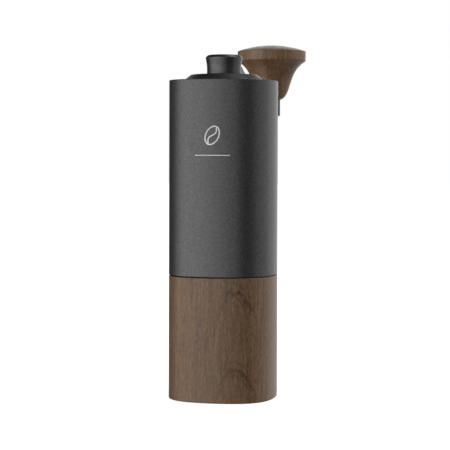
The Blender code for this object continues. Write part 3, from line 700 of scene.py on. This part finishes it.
def build_hub():
    low, high = node_box("crank_hub")
    cap_low, cap_high = node_box("hub_cap")
    link_low, link_high = node_box("crank_link")
    foot = node_box("lid_bush")[1].z + FIT_GAP
    spigot = 4.2
    skirt = node_box("lid")[1].z + FIT_GAP
    flange = node_box("lid_bush")[1].x + 0.2
    flare = high.x
    waist = flare - 0.65
    recess = cap_high.x + 0.15
    floor = cap_low.z - 0.15
    side = smooth_curve([(flare, high.z - 1.5), (flare - 0.32, high.z - 3.3), (waist, high.z - 5.8),
                         (waist, skirt)], 5)[1:-1]
    hub = turned("hub_post", [
        (0.0, floor, 0.0), (recess, floor, 0.0), (recess, high.z, 0.25), (flare - 1.1, high.z, 0.6),
        (flare, high.z - 1.2, 0.6), *[(radius, z, 0.0) for radius, z in side], (waist, skirt, 0.15),
        (flange, skirt, 0.1), (flange, foot, 0.0), (spigot, foot, 0.0), (spigot, low.z, 0.3),
        (0.0, low.z, 0.0),
    ])
    slot_size = (LINK_WIDTH + 0.1, 10.0, 4.4)
    slot = block("slot", slot_size, (0.0, link_low.y + 5.0, link_high.z - 2.15))
    apply_boolean(hub, slot, "DIFFERENCE")
    shade(hub)
    place(hub, CHARCOAL_SMALL, "crank", "charcoal_metal", "crank_hub", "hub_screw")
    face = cap_high.z - 0.05
    button = turned("hub_button", [
        (0.0, face, 0.0), (cap_high.x * 0.62, face, 0.0), (cap_high.x * 0.66, face - 0.15, 0.0),
        (cap_high.x * 0.7, face, 0.0), (cap_high.x, face, 0.2), (cap_high.x, cap_low.z, 0.1),
        (0.0, cap_low.z, 0.0),
    ])
    place(button, CHARCOAL_SMALL, "crank", "charcoal_metal", "hub_cap")


def build_link():
    """The bent bar from the hub to the hinge, with its fork and the pin."""
    low, high = node_box("crank_link")
    thick = 4.3
    under = high.z - thick
    round_end = []
    for i in range(33):
        angle = math.radians(-150 + 250 * i / 32)
        round_end.append((PIVOT.y + KNUCKLE_RADIUS * math.cos(angle),
                          PIVOT.z + KNUCKLE_RADIUS * math.sin(angle)))
    top = smooth_curve([round_end[-1], (29.0, 162.2), (24.0, 163.6), (18.0, high.z), (low.y, high.z)], 6)
    bottom = smooth_curve([(low.y, under), (19.0, under), (24.5, under - 1.1), round_end[0]], 6)
    outline = [tuple(p) for p in bottom] + round_end[1:] + [tuple(p) for p in top[1:]]
    link = side_plate("link_bar", outline, LINK_WIDTH, 0.5)
    fork_gap = 0.4
    fork_size = (TONGUE_WIDTH + fork_gap, 20.0, 20.0)
    fork_centre = (0.0, PIVOT.y - KNUCKLE_RADIUS - fork_gap + 10.0, PIVOT.z)
    apply_boolean(link, block("fork", fork_size, fork_centre), "DIFFERENCE")
    apply_boolean(link, rod("hole", PIN_RADIUS + 0.05, 20.0, PIVOT), "DIFFERENCE")
    shade(link, 30)
    place(link, CHARCOAL_ARM_SHADED, "crank", "charcoal_metal", "crank_link")
    pin_low, pin_high = node_box("hinge_pin")
    pin = rod("pivot_pin", PIN_RADIUS, pin_high.x - pin_low.x, PIVOT, bevel=0.25)
    shade(pin, 30)
    place(pin, STEEL, "arm", "bright_steel", "hinge_pin")


def build_arm():
    """The tapered bar from the hinge's tongue to the boss that holds the knob's axle."""
    low, high = node_box("crank_arm")
    axle_high = node_box("knob_axle")[1]
    eye_y = node_centre("knob_axle").y
    boss_top = node_box("knob")[0].z - 0.15
    boss_radius = high.y - eye_y
    run = Vector((0.0, eye_y, (boss_top + low.z) / 2)) - PIVOT
    tilt = math.atan2(run.z, run.y)
    thick = 4.0
    start = 4.0
    length = run.length - start
    arm = block("arm_bar", (LINK_WIDTH, length, thick), (0.0, 0.0, 0.0), bevel=1.0)
    for vertex in arm.data.vertices:
        share = vertex.co.y / (length * MM) + 0.5
        vertex.co.x *= 1 + share / 7
    middle = PIVOT + run.normalized() * (start + length / 2)
    arm.data.transform(Matrix.Translation(middle * MM) @ Matrix.Rotation(tilt, 4, "X"))
    tongue = rod("tongue", KNUCKLE_RADIUS, TONGUE_WIDTH, PIVOT)
    apply_boolean(arm, tongue, "UNION")
    neck_length = start + 1.5
    neck_size = (TONGUE_WIDTH, neck_length, thick)
    neck = block("neck", neck_size, PIVOT + run.normalized() * neck_length / 2, tilt)
    apply_boolean(arm, neck, "UNION")
    boss = turned("boss", [
        (0.0, boss_top, 0.0), (boss_radius, boss_top, 0.2), (boss_radius, low.z, 0.8), (0.0, low.z, 0.0),
    ], centre=(0.0, eye_y))
    apply_boolean(arm, boss, "UNION")
    apply_boolean(arm, rod("hole", PIN_RADIUS + 0.05, 20.0, PIVOT), "DIFFERENCE")
    shank = 2.5
    head = axle_high.x + 0.15
    ledge = low.z + 2.1
    well = turned("well", [
        (0.0, boss_top + 3, 0.0), (shank, boss_top + 3, 0.0), (shank, ledge, 0.0),
        (head, ledge, 0.0), (head, low.z - 3, 0.0), (0.0, low.z - 3, 0.0),
    ], centre=(0.0, eye_y))
    apply_boolean(arm, well, "DIFFERENCE")
    shade(arm, 30)
    place(arm, CHARCOAL_ARM_SHADED, "arm", "charcoal_metal", "crank_arm")


def build_knob():
    low, high = node_box("knob")
    centre = node_centre("knob").xy
    wide = high.x
    top = high.z
    rim_height = 3.45
    dome = []
    for i in range(12):
        share = i / 12
        dome.append((wide * share, top - rim_height * 0.95 * share ** 1.9, 0.0))
    waist = smooth_curve([
        (wide - 0.75, top - 9.45), (wide - 2.5, top - 10.75), (wide - 4.7, top - 13.0),
        (wide - 6.7, top - 16.3), (wide - 8.1, top - 20.0), (wide - 9.2, top - 23.4),
        (wide - 10.2, top - 26.3), (wide - 11.6, top - 28.8), (wide - 13.2, top - 30.3),
    ], 5)
    bore = node_box("knob_bush_upper")[1].x + FIT_GAP
    bore_top = node_box("knob_axle")[1].z + 1.4
    knob = turned("walnut_knob", [
        *dome, (wide, top - rim_height, 0.25), (wide, top - 8.7, 0.3),
        *[(radius, z, 0.0) for radius, z in waist], (wide - 14.2, low.z, 0.5), (bore, low.z, 0.4),
        (bore, bore_top, 0.0), (0.0, bore_top, 0.0),
    ], centre=centre, steps=RING_STEPS)
    # Painted light and shade across the knob: lighter on its right side, where the light falls.
    painted_side_light = [(0.0, 1.1), (0.30, 1.05), (0.50, 1.0), (0.65, 1.30), (0.80, 1.30), (0.95, 1.2)]
    wood = walnut("walnut_knob", wide, painted_side_light, figure=0.6, offset=(0.0, 0.0, 40.0))
    place(knob, wood, "knob", "walnut", "knob")


# ---------------------------------------------------------------- the inner CAD nodes

def finish_inner_nodes():
    """Inner nodes keep their CAD mesh, with worn edges and machined or moulded surfaces."""
    knob_axis = node_centre("knob_axle").xy
    steel_on_knob = machined_metal("axle_steel", (0.62, 0.61, 0.6), 0.3, axis=knob_axis)
    brass = machined_metal("turned_brass", (0.68, 0.5, 0.22), 0.32, axis=knob_axis)
    finishes = {
        ALUMINIUM: ("neck_ring", "burr_carrier", "lower_bracket", "upper_bracket"),
        BURR_STEEL: ("outer_burr", "inner_burr"),
        STEEL: ("drive_shaft", "drive_socket", "shaft_clip", "dial_stop_clip", "spring_washer",
                "click_plate", "preload_spring", "detent_spring", "detent_ball",
                "lower_bearing_outer", "lower_bearing_inner", "upper_bearing_outer",
                "upper_bearing_inner", "burr_grub_screw_1", "burr_grub_screw_2",
                "burr_grub_screw_3"),
        steel_on_knob: ("knob_axle", "axle_clip"),
        brass: ("knob_bush_lower", "knob_bush_upper"),
        PLASTIC: ("grind_dial", "lid_bush"),
        RUBBER: ("neck_seal",),
    }
    unbevelled = ("preload_spring", "detent_spring", "detent_ball")
    for material, names in finishes.items():
        for name in names:
            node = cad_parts[name]
            paint(node, material)
            if name in unbevelled:
                continue
            bevel = node.modifiers.new("worn edges", "BEVEL")
            bevel.width = 0.12 * MM
            bevel.segments = 2
            bevel.limit_method = "ANGLE"
            bevel.angle_limit = math.radians(40)
            bevel.harden_normals = True


# ---------------------------------------------------------------- floor, light and camera

CAMERA_AZIMUTH = math.radians(12.31)
CAMERA_DISTANCE = 770.9
CAMERA_HEIGHT = 117.3
CAMERA_PITCH = math.radians(1.317)
CAMERA_SIDE = 0.62
CAMERA_ROLL = math.radians(0.164)
FOCAL_IN_FRAMES = 3.5023
SHIFT_IN_FRAMES = -0.0700

FLOOR_GAP = 0.05          # the floor is this far below the base pad
FLOOR_HALF_SIZE = 6.0     # metres

# The light.  Compass angles in degrees start at the camera's side and grow towards the right.
WALLS = ((-180, 0.5), (-172, 0.02), (-112, 0.04), (-82, 0.73), (-38, 0.73), (-5, 0.29),
         (20, 0.045), (50, 0.025), (78, 0.24), (115, 0.28), (150, 0.36), (168, 0.8),
         (180, 0.6))      # (angle, level)
HEIGHTS = ((-0.5, 0.3), (-0.1, 1.0), (0.15, 1.0), (0.5, 0.05), (0.75, 0.05),
           (1.0, 0.12))   # (height of the direction, level)
WALL_STRENGTH = 2.75
SOFTBOXES = ((180, 22, 6, 18, 1.6),
             (85, 52, 12, 34, 2.2))   # (angle, elevation, size of core, size of edge, level)


def build_camera():
    data = bpy.data.cameras.new("camera")
    data.sensor_width = 36.0
    data.lens = FOCAL_IN_FRAMES * data.sensor_width
    data.shift_y = SHIFT_IN_FRAMES
    data.clip_start = 0.01
    data.clip_end = 20.0
    camera = bpy.data.objects.new("camera", data)
    bpy.context.scene.collection.objects.link(camera)
    right = Vector((math.cos(CAMERA_AZIMUTH), math.sin(CAMERA_AZIMUTH), 0.0))
    back = Vector((right.y, -right.x, 0.0))
    spot = back * CAMERA_DISTANCE + right * CAMERA_SIDE + Vector((0.0, 0.0, CAMERA_HEIGHT))
    camera.matrix_world = (Matrix.Translation(spot * MM)
                           @ Matrix.Rotation(CAMERA_AZIMUTH, 4, "Z")
                           @ Matrix.Rotation(math.pi / 2 - CAMERA_PITCH, 4, "X")
                           @ Matrix.Rotation(CAMERA_ROLL, 4, "Z"))
    bpy.context.scene.camera = camera


def build_floor():
    """A plain white floor that the camera sees and that doesn't light the object from below."""
    bm = bmesh.new()
    bmesh.ops.create_grid(bm, x_segments=1, y_segments=1, size=FLOOR_HALF_SIZE)
    floor = new_piece("floor", bm)
    floor.location.z = -FLOOR_GAP * MM
    white = Surface("white_floor", (0.8, 0.8, 0.8), 0.9)
    white.shader.inputs["Emission Color"].default_value = (1.0, 1.0, 1.0, 1.0)
    white.shader.inputs["Emission Strength"].default_value = 0.9
    paint(floor, white.material)
    floor.visible_diffuse = False
    floor.visible_glossy = False


def build_studio():
    """Soft light from walls all round and two soft boxes; the camera sees plain white behind."""
    world = bpy.data.worlds.new("studio")
    world.use_nodes = True
    bpy.context.scene.world = world
    tree = Tree(world.node_tree)
    turned_round = tree.nodes.new("ShaderNodeMapping")
    turned_round.inputs["Rotation"].default_value = (0.0, 0.0, -CAMERA_AZIMUTH)
    coordinates = tree.nodes.new("ShaderNodeTexCoord")
    tree.links.new(coordinates.outputs["Generated"], turned_round.inputs["Vector"])
    direction = turned_round.outputs["Vector"]
    right, away, up = tree.axes(direction)
    compass = tree.maths("ARCTAN2", right, tree.maths("MULTIPLY", away, -1.0))
    walls = tree.ramp(tree.range(compass, 0.0, 1.0, -math.pi, math.pi),
                      [(angle / 360 + 0.5, level) for angle, level in WALLS])
    heights = tree.ramp(tree.range(up, 0.0, 1.0, -1.0, 1.0),
                        [(height / 2 + 0.5, level) for height, level in HEIGHTS])
    strength = tree.maths("MULTIPLY", tree.maths("MULTIPLY", walls, heights), WALL_STRENGTH)
    for angle, elevation, core, edge, level in SOFTBOXES:
        tilt = math.radians(elevation)
        heading = Vector((math.sin(math.radians(angle)), -math.cos(math.radians(angle)), 0.0))
        towards = heading * math.cos(tilt) + Vector((0.0, 0.0, math.sin(tilt)))
        facing = tree.vector("DOT_PRODUCT", direction, towards)
        box = tree.range(facing, 0.0, level, math.cos(math.radians(edge)),
                         math.cos(math.radians(core)), "SMOOTHSTEP")
        strength = tree.maths("ADD", strength, box)
    light = tree.nodes["Background"]
    light.inputs["Color"].default_value = (1.0, 1.0, 1.0, 1.0)
    tree.links.new(strength, light.inputs["Strength"])
    seen = tree.nodes.new("ShaderNodeBackground")
    seen.inputs["Color"].default_value = (1.0, 1.0, 1.0, 1.0)
    choice = tree.nodes.new("ShaderNodeMixShader")
    tree.links.new(tree.nodes.new("ShaderNodeLightPath").outputs["Is Camera Ray"], choice.inputs["Fac"])
    tree.links.new(light.outputs["Background"], choice.inputs[1])
    tree.links.new(seen.outputs["Background"], choice.inputs[2])
    tree.links.new(choice.outputs["Shader"], tree.nodes["World Output"].inputs["Surface"])


build_cup()
build_body()
build_lid()
build_mark()
build_hub()
build_link()
build_arm()
build_knob()
finish_inner_nodes()
build_floor()
build_studio()
build_camera()

scene = bpy.context.scene
scene.view_settings.view_transform = "Standard"
scene.view_settings.look = "None"
